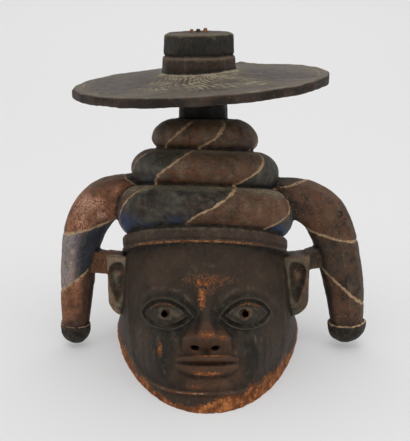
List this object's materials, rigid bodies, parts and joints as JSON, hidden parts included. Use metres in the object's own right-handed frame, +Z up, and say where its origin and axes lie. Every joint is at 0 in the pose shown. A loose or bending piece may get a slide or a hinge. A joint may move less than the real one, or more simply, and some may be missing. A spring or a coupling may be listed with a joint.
{
  "type": "gelede mask",
  "caption": "Hollow carved wooden helmet mask with a calm face, coiled headdress, wide brim, faceted crown and two hanging cloth ends.",
  "frame": {"origin": "on the ground under the middle of the whole mask, as it stands on its rim", "axes": "+Z up, the face looks along -Y and leans back, +X towards the mask's own left hand"},
  "size_m": [0.3334, 0.2872, 0.346],
  "materials": {
    "carved_wood": "dark worn patina over orange wood, with old blue, red and cream paint on the headdress"
  },
  "bodies": {
    "root": {"mask": "carved_wood"}
  },
  "joints": []
}
